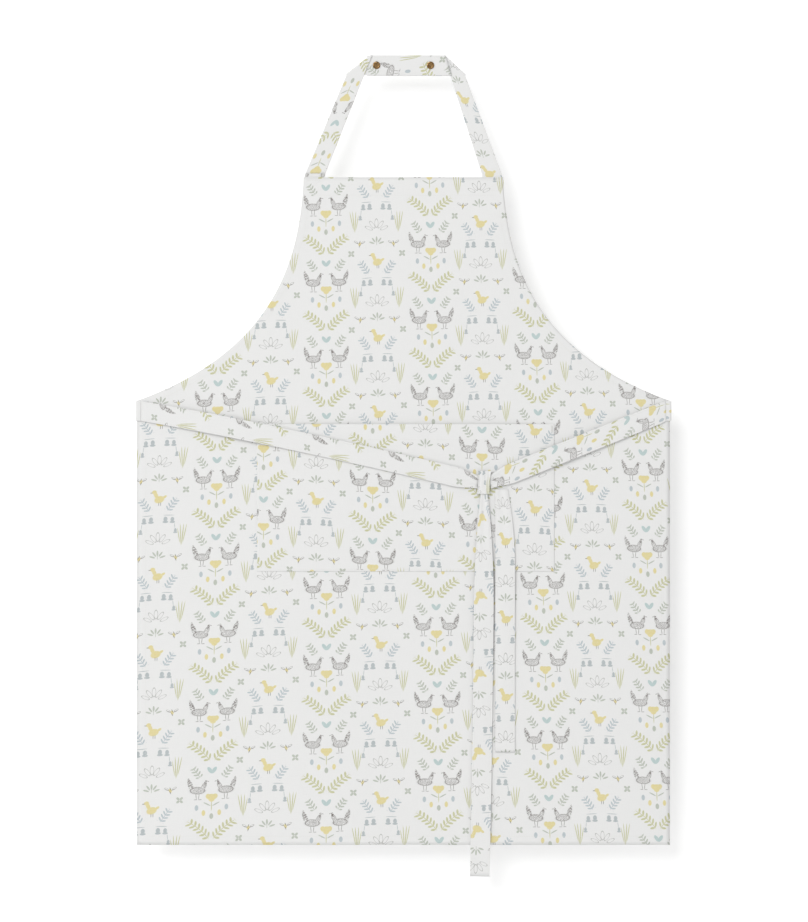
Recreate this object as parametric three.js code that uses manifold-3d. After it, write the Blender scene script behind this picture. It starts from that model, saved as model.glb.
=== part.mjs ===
// A printed cotton bib apron that hangs by its neck loop, with its waist ties knotted in front.
// Millimetres. +Z is up, the front faces -Y and +X is to the right as seen from the front.
// The origin is where a hook bears: the middle of the lower edge of the neck loop's rear strap.
import * as THREE from "three";
import { mergeVertices } from "three/addons/utils/BufferGeometryUtils.js";
import Module from "manifold-3d";

const wasm = await Module();
wasm.setup();

// Panel
const apronWidth = 700;
const bibWidth = 262;
const bibHeight = 294; // bib top down to the level of the side corners
const skirtLength = 583; // side corners down to the hem
const clothThickness = 1;
const bibHemWidth = 25;
const armholeHemWidth = 10;
const sideHemWidth = 13;
const bottomHemWidth = 13;
const armholeTopHandle = 116; // length of the curve's upper tangent
const armholeTopLean = 4; // how far that tangent leans outward
const armholeSideHandle = new THREE.Vector2(175, 63); // the lower tangent, inward and up
const armholeSteps = 20;

// Pocket
const pocketWidth = 390;
const pocketHeight = 193;
const pocketDrop = 30.5; // side corners down to the pocket's mouth
const pocketOffset = 3; // to the right of the middle
const pocketThickness = 0.8;
const pocketEase = 5; // how far the slack mouth stands out at its middle
const pocketHemWidth = 20;
const pocketSeamInset = 3;

// Neck loop
const strapWidth = 26.6;
const strapThickness = 1.5;
const neckDrop = 134; // hook line down to the bib top
const leftCornerReach = 78; // hook line's middle out to each mitred corner
const rightCornerReach = 84;
const leftMitreRun = 34; // how far each mitre runs inward as it rises across the strap
const rightMitreRun = 28.5;
const leftStrapEnd = 59.5; // end of the front strap, right of the middle
const foldBulk = 2; // width of the rounded fold along each mitre
const strapSewnLength = 22; // strap that lies behind the bib hem

// Waist ties
const tieWidth = 26;
const tieThickness = 1.5;
const tieSewnReach = 26; // tie that lies behind the side hem
const tieFrontReach = 5; // tie that the turn round the side edge brings to the front
const tieEdgeAllowance = 0.8; // slack between the side edge and the turn
const knotX = 106;
const knotDrop = 107; // side corners down to the middle of the knot
const knotWidth = 18;
const knotHeight = 31;
const knotDepth = 3.8; // front to back
const knotRounding = 1.2;
const gatherWidth = 20; // the bands narrow into the knot
const gatherLength = 30;
const leftBandBow = 7.5; // how far the left band's curve is lifted off a straight line
const longTailLength = 500;
const longTailMouthWidth = 10; // width where the tail leaves the knot
const longTailSpread = 150; // length over which it opens out to full width
const longTailDrift = -6; // sideways reach of its end
const shortTailLength = 342;
const shortTailTopWidth = 17;
const shortTailSpread = 100;
const shortTailGap = 1.5; // between the two tails
const tailLean = 3.5; // how much nearer the skirt the tails' ends hang

// Snap fasteners
const snapFromLeg = 13.6; // left leg's inner edge to the left snap, half-way up the strap
const snapFromEnd = 24; // end of the front strap to the right snap
const snapToStrapEnd = 12.5; // left snap to the end of the rear strap
const snapRadius = 5;
const capHeight = 1.2;
const capRecessRadius = 2.4;
const capRecessDepth = 0.7;
const socketHoleRadius = 2;
const socketHeight = 1;
const studBaseHeight = 0.7;
const studNubRadius = 1.6;
const studNubHeight = 0.9;
const backRingHoleRadius = 1.8;
const backRingHeight = 0.8;
const snapSegments = 24;

// Threads and clearances
const threadWidth = 0.6;
const threadHeight = 0.3;
const seamGap = 0.3; // between pieces sewn to each other
const layerGap = 0.6; // between the folded layers of the neck loop
const jointGap = 0.5; // between pieces that swing past each other
const hingeRise = 2.5; // bib top up to the line on which the straps bend
const strapHingeGap = 1.5; // from that line to the straps above and below it
const tailHingeGap = 1.2; // knot or band down to the line on which a tail swings
const tailTuck = 0.3; // from that line down to the tail
const hemSeamInset = 1.5; // hem's inner fold out to its seam
const seamEndGap = 1;
const tieStitchMargin = 4;

// Levels
const bibTopZ = -neckDrop;
const sideTopZ = bibTopZ - bibHeight;
const hemZ = sideTopZ - skirtLength;
const pocketTopZ = sideTopZ - pocketDrop;
const strapHingeZ = bibTopZ + hingeRise;

// Layers, each given by its front face. Rear strap's top stretch lies round y = 0.
const layerPitch = strapThickness + layerGap;
const rearTopY = -strapThickness / 2;
const rearLegY = rearTopY - layerPitch;
const frontTopY = rearLegY - layerPitch;
const frontLegY = frontTopY - layerPitch;
const sewnStrapY = frontTopY;
const hemBackY = sewnStrapY - seamGap;
const hemFrontY = hemBackY - clothThickness;
const panelFrontY = hemFrontY - clothThickness;
const seamY = panelFrontY - seamGap; // rear face of whatever is sewn on the front
const pocketFrontY = seamY - pocketThickness;
const tieBackY = seamY - threadHeight - seamGap; // the ties lie over the seams
const bandBackY = pocketFrontY - pocketEase - threadHeight - 2 * seamGap; // and over the pocket
const longTailY = bandBackY;
const shortTailY = bandBackY + tieThickness + seamGap; // behind the long tail

const halfApron = apronWidth / 2;
const halfBib = bibWidth / 2;

// --- Geometry helpers -----------------------------------------------------------------------

function solidOf(geometry) {
  const plain = geometry.clone();
  plain.deleteAttribute("normal");
  plain.deleteAttribute("uv");
  const merged = mergeVertices(plain, 1e-4);
  return new wasm.Manifold(
    new wasm.Mesh({
      numProp: 3,
      vertProperties: new Float32Array(merged.attributes.position.array),
      triVerts: new Uint32Array(merged.index.array),
    }),
  );
}

function joined(...geometries) {
  const solids = geometries.map(solidOf);
  const whole = solids.reduce((sum, next) => sum.add(next)).getMesh();
  const geometry = new THREE.BufferGeometry();
  geometry.setAttribute("position", new THREE.BufferAttribute(whole.vertProperties, 3));
  geometry.setIndex(new THREE.BufferAttribute(whole.triVerts, 1));
  return geometry;
}

// A flat outline in x and z, given its front and back faces.
function slab(shape, frontY, backY) {
  const geometry = new THREE.ExtrudeGeometry(shape, {
    depth: backY - frontY,
    bevelEnabled: false,
    curveSegments: armholeSteps,
  });
  return geometry.rotateX(Math.PI / 2).translate(0, backY, 0);
}

function outline(...corners) {
  return new THREE.Shape(corners.map(([x, z]) => new THREE.Vector2(x, z)));
}

function rectangle(left, bottom, right, top) {
  return outline([left, bottom], [right, bottom], [right, top], [left, top]);
}

// A closed solid between a front and a back sheet: at(u, v, side) gives a point, side 0 is the front.
function shell(uSteps, vSteps, at) {
  const positions = [];
  const index = [];
  const rowLength = vSteps + 1;
  const sheetLength = (uSteps + 1) * rowLength;
  for (const side of [0, 1])
    for (let i = 0; i <= uSteps; i++)
      for (let j = 0; j <= vSteps; j++) positions.push(...at(i / uSteps, j / vSteps, side));
  const vertex = (i, j, side) => side * sheetLength + i * rowLength + j;
  const quad = (a, b, c, d) => index.push(a, b, c, a, c, d);
  for (let i = 0; i < uSteps; i++)
    for (let j = 0; j < vSteps; j++) {
      quad(vertex(i, j, 0), vertex(i + 1, j, 0), vertex(i + 1, j + 1, 0), vertex(i, j + 1, 0));
      quad(vertex(i, j, 1), vertex(i, j + 1, 1), vertex(i + 1, j + 1, 1), vertex(i + 1, j, 1));
    }
  for (let i = 0; i < uSteps; i++) {
    quad(vertex(i, 0, 1), vertex(i + 1, 0, 1), vertex(i + 1, 0, 0), vertex(i, 0, 0));
    quad(vertex(i, vSteps, 0), vertex(i + 1, vSteps, 0), vertex(i + 1, vSteps, 1), vertex(i, vSteps, 1));
  }
  for (let j = 0; j < vSteps; j++) {
    quad(vertex(0, j, 0), vertex(0, j + 1, 0), vertex(0, j + 1, 1), vertex(0, j, 1));
    quad(vertex(uSteps, j, 1), vertex(uSteps, j + 1, 1), vertex(uSteps, j + 1, 0), vertex(uSteps, j, 0));
  }
  const geometry = new THREE.BufferGeometry();
  geometry.setAttribute("position", new THREE.Float32BufferAttribute(positions, 3));
  geometry.setIndex(index);
  return geometry;
}

// Moves each side of a closed outline inward by its own distance.
function inset(points, distanceOf) {
  const count = points.length;
  const normals = points.map((p, i) => {
    const along = points[(i + 1) % count].clone().sub(p).normalize();
    return new THREE.Vector2(-along.y, along.x);
  });
  return points.map((p, i) => {
    const before = (i + count - 1) % count;
    const n1 = normals[before];
    const n2 = normals[i];
    const d1 = distanceOf(before);
    const d2 = distanceOf(i);
    const turn = n1.cross(n2);
    if (Math.abs(turn) < 1e-6) return p.clone().addScaledVector(n2, d2);
    const x = (d1 * n2.y - d2 * n1.y) / turn;
    const y = (d2 * n1.x - d1 * n2.x) / turn;
    return new THREE.Vector2(p.x + x, p.y + y);
  });
}

// A ribbon of thread along a line of points in x and z; backOf gives the face that it lies on.
function threadLine(points, backOf) {
  const steps = points.length - 1;
  const sideways = points.map((p, i) => {
    const along = points[Math.min(i + 1, steps)].clone().sub(points[Math.max(i - 1, 0)]).normalize();
    return new THREE.Vector2(-along.y, along.x).multiplyScalar(threadWidth / 2);
  });
  return shell(steps, 1, (u, v, side) => {
    const i = Math.round(u * steps);
    const edge = points[i].clone().addScaledVector(sideways[i], 2 * v - 1);
    return [edge.x, backOf(points[i]) - (side ? 0 : threadHeight), edge.y];
  });
}

// Points spread evenly from one corner to the next, the last corner left out.
function pointsBetween(from, to, steps) {
  return Array.from({ length: steps }, (_, i) => from.clone().lerp(to, i / steps));
}

// --- Panel ----------------------------------------------------------------------------------

const armhole = new THREE.CubicBezierCurve(
  new THREE.Vector2(halfBib, bibTopZ),
  new THREE.Vector2(halfBib + armholeTopLean, bibTopZ - armholeTopHandle),
  new THREE.Vector2(halfApron - armholeSideHandle.x, sideTopZ + armholeSideHandle.y),
  new THREE.Vector2(halfApron, sideTopZ),
);
const rightArmhole = armhole.getPoints(armholeSteps);
const leftArmhole = rightArmhole.map((p) => new THREE.Vector2(-p.x, p.y)).reverse();

// Anticlockwise: bottom hem, right side, right armhole, bib top, left armhole, left side.
const panelPoints = [
  new THREE.Vector2(-halfApron, hemZ),
  new THREE.Vector2(halfApron, hemZ),
  ...rightArmhole.slice().reverse(),
  ...leftArmhole.slice().reverse(),
];

const corner = {
  bottomLeft: 0,
  bottomRight: 1,
  sideRight: 2,
  bibRight: 2 + armholeSteps,
  bibLeft: 3 + armholeSteps,
  sideLeft: 3 + 2 * armholeSteps,
};

function hemWidthOf(side) {
  if (side === corner.bottomLeft) return bottomHemWidth;
  if (side === corner.bottomRight || side === corner.sideLeft) return sideHemWidth;
  return side === corner.bibRight ? bibHemWidth : armholeHemWidth;
}

// The hems' inner folds, or a line that runs outside them, as one run of points for each edge.
function hemRuns(outside) {
  const all = inset(panelPoints, (side) => hemWidthOf(side) - outside);
  const belowBibHem = (p) => p.y < all[corner.bibRight].y - 1;
  const armholeRun = (from, to) => [
    all[from],
    ...all.slice(from + 1, to).filter(belowBibHem),
    all[to],
  ];
  return {
    bottom_hem: [all[corner.bottomLeft], all[corner.bottomRight]],
    right_side: [all[corner.bottomRight], all[corner.sideRight]],
    right_armhole: armholeRun(corner.sideRight, corner.bibRight),
    bib_top: [all[corner.bibRight], all[corner.bibLeft]],
    left_armhole: armholeRun(corner.bibLeft, corner.sideLeft),
    left_side: [all[corner.sideLeft], all[corner.bottomLeft]],
  };
}

function panelGeometry() {
  const hemFold = Object.values(hemRuns(0)).flatMap((run) => run.slice(0, -1));
  const hem = new THREE.Shape(panelPoints);
  hem.holes.push(new THREE.Path(hemFold.reverse()));
  const overlap = clothThickness / 4;
  return joined(
    slab(new THREE.Shape(panelPoints), panelFrontY, hemFrontY),
    slab(hem, hemFrontY - overlap, hemBackY),
  );
}

// --- Pocket ---------------------------------------------------------------------------------

const pocketLeft = pocketOffset - pocketWidth / 2;
const pocketRight = pocketOffset + pocketWidth / 2;
const pocketBottomZ = pocketTopZ - pocketHeight;

// How far the pocket stands out from its seams at a point of it.
function pocketSlack(x, z) {
  const across = (x - pocketOffset) / (pocketWidth / 2);
  const down = (pocketTopZ - z) / pocketHeight;
  return pocketEase * (1 - across ** 4) * (1 - down ** 2);
}

function pocketGeometry() {
  return shell(20, 10, (u, v, side) => {
    const x = pocketLeft + u * pocketWidth;
    const z = pocketBottomZ + v * pocketHeight;
    return [x, pocketFrontY + side * pocketThickness - pocketSlack(x, z), z];
  });
}

function pocketFace(point) {
  return pocketFrontY - seamGap - pocketSlack(point.x, point.y);
}

function pocketMouthSeam() {
  const z = pocketTopZ - pocketHemWidth;
  const left = new THREE.Vector2(pocketLeft, z);
  const right = new THREE.Vector2(pocketRight, z);
  return threadLine([...pointsBetween(left, right, 20), right], pocketFace);
}

// Thread down one side of the pocket, along its bottom and up the other side.
function pocketSeam() {
  const left = pocketLeft + pocketSeamInset;
  const right = pocketRight - pocketSeamInset;
  const bottom = pocketBottomZ + pocketSeamInset;
  const top = pocketTopZ - pocketHemWidth - seamEndGap;
  const corners = [[left, top], [left, bottom], [right, bottom], [right, top]];
  const [a, b, c, d] = corners.map(([x, z]) => new THREE.Vector2(x, z));
  const path = [
    ...pointsBetween(a, b, 10),
    ...pointsBetween(b, c, 20),
    ...pointsBetween(c, d, 10),
    d,
  ];
  return threadLine(path, pocketFace);
}

function barTack(x) {
  const tackLength = 8;
  const tackWidth = 2;
  const top = pocketTopZ - 2;
  const back = pocketFace(new THREE.Vector2(x, top));
  const shape = rectangle(x - tackWidth / 2, top - tackLength, x + tackWidth / 2, top);
  return slab(shape, back - threadHeight, back);
}

// --- Neck loop ------------------------------------------------------------------------------

// Where one side of the loop lies, drawn for the right side.
function loopSide(cornerReach, mitreRun) {
  const peakX = cornerReach - mitreRun; // where the mitre meets the strap's upper edge
  const edgeAt = (z, bottomX, topX, topZ) => {
    const share = (z - bibTopZ) / (topZ - bibTopZ);
    return bottomX + (topX - bottomX) * share;
  };
  return {
    cornerReach,
    peakX,
    mitreAngle: Math.atan2(strapWidth, mitreRun),
    outerAt: (z) => edgeAt(z, halfBib, cornerReach, 0),
    innerAt: (z) => edgeAt(z, halfBib - strapWidth, peakX, strapWidth),
  };
}

const leftLoop = loopSide(leftCornerReach, leftMitreRun);
const rightLoop = loopSide(rightCornerReach, rightMitreRun);
const leftSnapX = snapFromLeg - leftLoop.innerAt(strapWidth / 2);
const rightSnapX = leftStrapEnd - snapFromEnd;
const rightStrapEnd = leftSnapX - snapToStrapEnd;

// One strap: a leg that rises from the bib, turns back on itself along a mitre and runs across
// the top. The side is -1 for the strap that is mirrored to the left. The end leans: it is the
// place of the end's middle, and its corners stand endLean either side of that.
function neckStrapGeometry(side, loop, end, endLean, legY, topY) {
  const { cornerReach, peakX, mitreAngle, outerAt, innerAt } = loop;
  const legBottomZ = strapHingeZ + strapHingeGap;
  const place = (corners) => {
    const placed = corners.map(([x, z]) => [side * x, z]);
    return outline(...(side < 0 ? placed.reverse() : placed));
  };
  const mitreTop = [peakX, strapWidth];
  const leg = place([
    [innerAt(legBottomZ), legBottomZ],
    [outerAt(legBottomZ), legBottomZ],
    [cornerReach, 0],
    mitreTop,
  ]);
  const endBottom = [side * (end + endLean), 0];
  const endTop = [side * (end - endLean), strapWidth];
  const top = place([endBottom, [cornerReach, 0], mitreTop, endTop]);
  const foldReach = foldBulk / Math.sin(mitreAngle);
  const fold = place([
    [cornerReach - foldReach, 0],
    [cornerReach, 0],
    mitreTop,
    [mitreTop[0] - foldReach, strapWidth],
  ]);
  const tilt = Math.atan2(sewnStrapY - legY, -legBottomZ);
  const tiltedLeg = slab(leg, 0, strapThickness).rotateX(tilt).translate(0, legY, 0);
  const foldFront = Math.min(legY, topY);
  const foldBack = Math.max(legY, topY) + strapThickness;
  return joined(
    slab(top, topY, topY + strapThickness),
    slab(fold, foldFront, foldBack),
    tiltedLeg,
  );
}

function strapSewnEnd(side) {
  const inner = side * (halfBib - strapWidth);
  const outer = side * halfBib;
  const shape = rectangle(
    Math.min(inner, outer),
    bibTopZ - strapSewnLength,
    Math.max(inner, outer),
    strapHingeZ - strapHingeGap,
  );
  return slab(shape, sewnStrapY, sewnStrapY + strapThickness);
}

// A box of thread that holds a strap or a tie, seen on the front of the panel.
function boxStitch(left, bottom, right, top) {
  const shape = rectangle(left, bottom, right, top);
  const inner = rectangle(
    left + threadWidth,
    bottom + threadWidth,
    right - threadWidth,
    top - threadWidth,
  );
  shape.holes.push(new THREE.Path(inner.getPoints().reverse()));
  return slab(shape, seamY - threadHeight, seamY);
}

function strapBoxStitch(side) {
  const margin = 4;
  const inner = side * (halfBib - strapWidth + margin);
  const outer = side * (halfBib - margin);
  return boxStitch(
    Math.min(inner, outer),
    bibTopZ - strapSewnLength + margin,
    Math.max(inner, outer),
    bibTopZ - margin,
  );
}

// --- Waist ties -----------------------------------------------------------------------------

const tieTopZ = sideTopZ;
const tieMiddleZ = tieTopZ - tieWidth / 2;
const knotZ = tieTopZ - knotDrop;
const longTailHingeZ = knotZ - knotHeight / 2 - tailHingeGap;
const shortTailHingeZ = knotZ - gatherWidth / 2 - tailHingeGap;
const knotLeft = knotX - knotWidth / 2;
const knotRight = knotX + knotWidth / 2;

// The tie's sewn end behind the side hem, turned round the side edge to the front.
function tieTurn(side) {
  const back = sewnStrapY;
  const edge = halfApron + tieEdgeAllowance;
  const corners = [
    [halfApron - tieSewnReach, back],
    [halfApron - tieSewnReach, back + tieThickness],
    [edge + tieThickness, back + tieThickness],
    [edge + tieThickness, tieBackY - tieThickness],
    [halfApron - tieFrontReach, tieBackY - tieThickness],
    [halfApron - tieFrontReach, tieBackY],
    [edge, tieBackY],
    [edge, back],
  ].map(([x, y]) => [side * x, y]);
  const shape = outline(...(side < 0 ? corners : corners.reverse()));
  return new THREE.ExtrudeGeometry(shape, { depth: tieWidth, bevelEnabled: false }).translate(
    0,
    0,
    tieTopZ - tieWidth,
  );
}

// A band that runs from the side edge to the knot and rises over the pocket on its way.
function bandGeometry(side) {
  const start = new THREE.Vector2(side * (halfApron - tieFrontReach - jointGap), tieMiddleZ);
  const end = new THREE.Vector2(side < 0 ? knotLeft - jointGap : knotRight + jointGap, knotZ);
  const middle = start.clone().lerp(end, 0.4);
  middle.y += side < 0 ? leftBandBow : 0;
  const line = new THREE.QuadraticBezierCurve(start, middle, end);
  const length = line.getLength();
  const rise = bandBackY - tieBackY;
  const crestX = side < 0 ? pocketOffset - pocketWidth / 4 : end.x;
  return shell(24, 1, (u, v, back) => {
    const point = line.getPointAt(u);
    const along = line.getTangentAt(u);
    const gathered = Math.max(0, 1 - ((1 - u) * length) / gatherLength);
    const width = tieWidth + (gatherWidth - tieWidth) * gathered;
    const across = new THREE.Vector2(-along.y, along.x).multiplyScalar((v - 0.5) * width);
    if (u === 0 || u === 1) across.x = 0;
    const reach = Math.min(1, (point.x - start.x) / (crestX - start.x));
    const y = tieBackY + rise * Math.sin((reach * Math.PI) / 2) - (back ? 0 : tieThickness);
    return [point.x + across.x, y, point.y + across.y];
  });
}

function knotGeometry() {
  const width = knotWidth - 2 * knotRounding;
  const height = knotHeight - 2 * knotRounding;
  const shape = rectangle(-width / 2, -height / 2, width / 2, height / 2);
  const geometry = new THREE.ExtrudeGeometry(shape, {
    depth: knotDepth - 2 * knotRounding,
    bevelEnabled: true,
    bevelSize: knotRounding,
    bevelThickness: knotRounding,
    bevelSegments: 3,
  });
  return geometry
    .rotateX(Math.PI / 2)
    .translate(knotX, bandBackY + seamGap - knotRounding, knotZ);
}

// A free tail: it leaves the knot narrow, opens out to the tie's width and hangs to its end.
function tailGeometry(topZ, length, middleOf, widthOf, topBackY) {
  return shell(1, 20, (u, v, side) => {
    const fallen = (1 - v) * length;
    const x = middleOf(fallen) + (u - 0.5) * widthOf(fallen);
    const y = topBackY + (tailLean * fallen) / longTailLength - (side ? 0 : tieThickness);
    return [x, y, topZ - fallen];
  });
}

function opened(fallen, spread, narrow) {
  const share = Math.min(1, fallen / spread);
  return narrow + (tieWidth - narrow) * share * (2 - share);
}

function longTailMiddle(fallen) {
  return knotX + longTailDrift * (fallen / longTailLength) ** 2;
}

function longTail() {
  const width = (fallen) => opened(fallen, longTailSpread, longTailMouthWidth);
  return tailGeometry(longTailHingeZ - tailTuck, longTailLength, longTailMiddle, width, longTailY);
}

// The short tail hangs beside the long one: its left edge keeps clear of the long tail's right.
function shortTail() {
  const width = (fallen) => opened(fallen, shortTailSpread, shortTailTopWidth);
  const left = knotX + tieWidth / 2 + shortTailGap;
  const middle = (fallen) => left + width(fallen) / 2;
  return tailGeometry(shortTailHingeZ - tailTuck, shortTailLength, middle, width, shortTailY);
}

function tieBoxStitch(side) {
  const near = side * (halfApron - sideHemWidth - tieStitchMargin / 2);
  const far = side * (halfApron - tieSewnReach + tieStitchMargin / 2);
  return boxStitch(
    Math.min(near, far),
    tieTopZ - tieWidth + tieStitchMargin,
    Math.max(near, far),
    tieTopZ - tieStitchMargin,
  );
}

// --- Snap fasteners -------------------------------------------------------------------------

// Turns a closed profile of [radius, height] about an axis along y; height grows to the front.
function turned(profile, x, baseY) {
  const points = profile.map(([radius, height]) => new THREE.Vector2(radius, height));
  return new THREE.LatheGeometry(points, snapSegments)
    .rotateX(Math.PI)
    .translate(x, baseY, strapWidth / 2);
}

function snapCap(x) {
  const floor = capHeight - capRecessDepth;
  const rim = (capRecessRadius + snapRadius) / 2;
  return turned(
    [
      [0, 0],
      [snapRadius - 0.4, 0],
      [snapRadius, 0.4],
      [snapRadius - 0.5, capHeight - 0.2],
      [rim, capHeight],
      [capRecessRadius + 0.3, capHeight - 0.2],
      [capRecessRadius, floor],
      [0, floor],
    ],
    x,
    frontTopY - seamGap,
  );
}

function snapSocket(x) {
  const outer = snapRadius - 0.4;
  return turned(
    [
      [socketHoleRadius, 0],
      [outer, 0],
      [outer, socketHeight * 0.6],
      [outer - 0.6, socketHeight],
      [socketHoleRadius, socketHeight],
      [socketHoleRadius, 0],
    ],
    x,
    frontTopY + strapThickness + seamGap + socketHeight,
  );
}

function snapStud(x) {
  const nubTop = studBaseHeight + studNubHeight;
  return turned(
    [
      [0, 0],
      [snapRadius - 0.5, 0],
      [snapRadius - 0.5, studBaseHeight],
      [studNubRadius, studBaseHeight],
      [studNubRadius, nubTop - 0.3],
      [studNubRadius - 0.3, nubTop],
      [0, nubTop],
    ],
    x,
    rearTopY - seamGap,
  );
}

function snapBackRing(x) {
  const outer = snapRadius - 0.2;
  return turned(
    [
      [backRingHoleRadius, 0],
      [outer - 0.3, 0],
      [outer, backRingHeight / 2],
      [outer, backRingHeight],
      [backRingHoleRadius, backRingHeight],
      [backRingHoleRadius, 0],
    ],
    x,
    rearTopY + strapThickness + seamGap + backRingHeight,
  );
}

// --- Assembly -------------------------------------------------------------------------------

const cotton = { color: 0xe8e9e6, roughness: 0.9, metalness: 0 };
const thread = { color: 0xe3e3df, roughness: 0.8, metalness: 0 };
const brass = { color: 0x6b4a24, roughness: 0.35, metalness: 1 };

const apron = new THREE.Group();

function add(name, geometry, finish) {
  const mesh = new THREE.Mesh(geometry, new THREE.MeshStandardMaterial(finish));
  mesh.name = name;
  apron.add(mesh);
}

add("apron_panel", panelGeometry(), cotton);
add("pocket", pocketGeometry(), cotton);

// Each hem's seam runs just outside its inner fold and stops short of the next one.
for (const [name, run] of Object.entries(hemRuns(hemSeamInset))) {
  const points = run.map((p) => p.clone());
  const last = points.length - 1;
  const towards = (end, next) => points[next].clone().sub(points[end]).normalize();
  points[0].addScaledVector(towards(0, 1), seamEndGap);
  points[last].addScaledVector(towards(last, last - 1), seamEndGap);
  add(name + "_seam", threadLine(points, () => seamY), thread);
}

add("pocket_seam", pocketSeam(), thread);
add("pocket_mouth_seam", pocketMouthSeam(), thread);
add("pocket_left_bar_tack", barTack(pocketLeft + pocketSeamInset), thread);
add("pocket_right_bar_tack", barTack(pocketRight - pocketSeamInset), thread);

// The front strap's end lies along the inner edge of the other strap's leg.
const frontEndLean = (rightLoop.innerAt(0) - rightLoop.peakX) / 2;
const frontStrap = neckStrapGeometry(
  -1,
  leftLoop,
  leftStrapEnd,
  frontEndLean,
  frontLegY,
  frontTopY,
);
const rearStrap = neckStrapGeometry(1, rightLoop, rightStrapEnd, 0, rearLegY, rearTopY);
add("left_neck_strap", frontStrap, cotton);
add("right_neck_strap", rearStrap, cotton);

for (const [name, side, snapX] of [["left", -1, leftSnapX], ["right", 1, rightSnapX]]) {
  add(name + "_strap_sewn_end", strapSewnEnd(side), cotton);
  add(name + "_strap_box_stitch", strapBoxStitch(side), thread);
  add(name + "_tie_sewn_end", tieTurn(side), cotton);
  add(name + "_tie_box_stitch", tieBoxStitch(side), thread);
  add(name + "_tie_band", bandGeometry(side), cotton);
  add(name + "_snap_cap", snapCap(snapX), brass);
  add(name + "_snap_socket", snapSocket(snapX), brass);
  add(name + "_snap_stud", snapStud(snapX), brass);
  add(name + "_snap_back_ring", snapBackRing(snapX), brass);
}

add("tie_knot", knotGeometry(), cotton);
add("long_tie_tail", longTail(), cotton);
add("short_tie_tail", shortTail(), cotton);

export default apron;
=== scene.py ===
import math

import bpy
import numpy as np
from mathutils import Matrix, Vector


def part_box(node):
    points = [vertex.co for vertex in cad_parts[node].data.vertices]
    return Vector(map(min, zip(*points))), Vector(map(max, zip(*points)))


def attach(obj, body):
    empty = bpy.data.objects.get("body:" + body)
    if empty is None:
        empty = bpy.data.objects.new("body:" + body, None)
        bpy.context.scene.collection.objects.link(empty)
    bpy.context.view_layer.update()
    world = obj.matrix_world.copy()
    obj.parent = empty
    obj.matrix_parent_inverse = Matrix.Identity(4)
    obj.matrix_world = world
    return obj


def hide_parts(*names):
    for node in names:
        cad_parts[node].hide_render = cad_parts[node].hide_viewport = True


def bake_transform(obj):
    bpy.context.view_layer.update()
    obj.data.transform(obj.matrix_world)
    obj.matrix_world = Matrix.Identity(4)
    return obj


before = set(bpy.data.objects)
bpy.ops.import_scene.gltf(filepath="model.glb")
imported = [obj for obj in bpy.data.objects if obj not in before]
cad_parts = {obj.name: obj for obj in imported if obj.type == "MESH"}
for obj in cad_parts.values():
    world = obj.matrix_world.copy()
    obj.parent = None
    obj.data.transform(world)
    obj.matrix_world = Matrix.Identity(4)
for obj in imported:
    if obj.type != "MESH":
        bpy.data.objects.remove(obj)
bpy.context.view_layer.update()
bpy.ops.object.select_all(action="DESELECT")
print("frame loaded:", len(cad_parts), "nodes")


def boxOf(node):  # a CAD node's lowest and highest corner in millimetres
    low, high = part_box(node)
    return np.array(low) * 1000, np.array(high) * 1000


# sizes taken from the frame, in millimetres
panelLow, panelHigh = boxOf("apron_panel")
pocketLow, pocketHigh = boxOf("pocket")
halfApron, bibTop, hemBottom = panelHigh[0], panelHigh[2], panelLow[2]
halfBib = boxOf("right_strap_sewn_end")[1][0]
sideTop = boxOf("left_tie_sewn_end")[1][2]
panelFront = panelLow[1]

panelCloth = {
    "thickness": 0.6,
    "armholeTopHandle": 116,
    "armholeTopLean": 4,
    "armholeSideHandle": (175, 63),
    "armholeRows": 60,
    "skirtRows": 104,
    "columns": 120,
    "hemThickness": 0.55,
    "hemWidths": {"bib": 25, "armhole": 10, "side": 13, "bottom": 13},
    "turnings": {"bib": 35, "armhole": 20, "side": 26, "bottom": 26},  # cloth cut for each hem
    "armholeRun": 370,  # length of one armhole's edge
    "waveDepth": 0.9,  # how far the hanging cloth waves in and out
}


def finishMesh(name, points, faces, loopUvs, materials):
    mesh = bpy.data.meshes.new(name)
    mesh.from_pydata((np.asarray(points) * 0.001).tolist(), [], faces)
    layer = mesh.uv_layers.new(name="printMap")
    layer.data.foreach_set("uv", (np.asarray(loopUvs) * 0.001).astype(np.float32).ravel())
    for material in materials:
        mesh.materials.append(material)
    mesh.polygons.foreach_set("use_smooth", [True] * len(mesh.polygons))
    piece = bpy.data.objects.new(name, mesh)
    bpy.context.scene.collection.objects.link(piece)
    return piece


def makeActive(piece):
    bpy.ops.object.select_all(action="DESELECT")
    piece.select_set(True)
    bpy.context.view_layer.objects.active = piece


def applyModifier(piece, kind, **settings):
    makeActive(piece)
    modifier = piece.modifiers.new(kind.title(), kind)
    for key, value in settings.items():
        setattr(modifier, key, value)
    bpy.ops.object.modifier_apply(modifier=modifier.name)
    piece.select_set(False)


def turnFacesOut(piece):
    makeActive(piece)
    bpy.ops.object.mode_set(mode="EDIT")
    bpy.ops.mesh.select_all(action="SELECT")
    bpy.ops.mesh.normals_make_consistent(inside=False)
    bpy.ops.object.mode_set(mode="OBJECT")
    piece.select_set(False)


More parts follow.
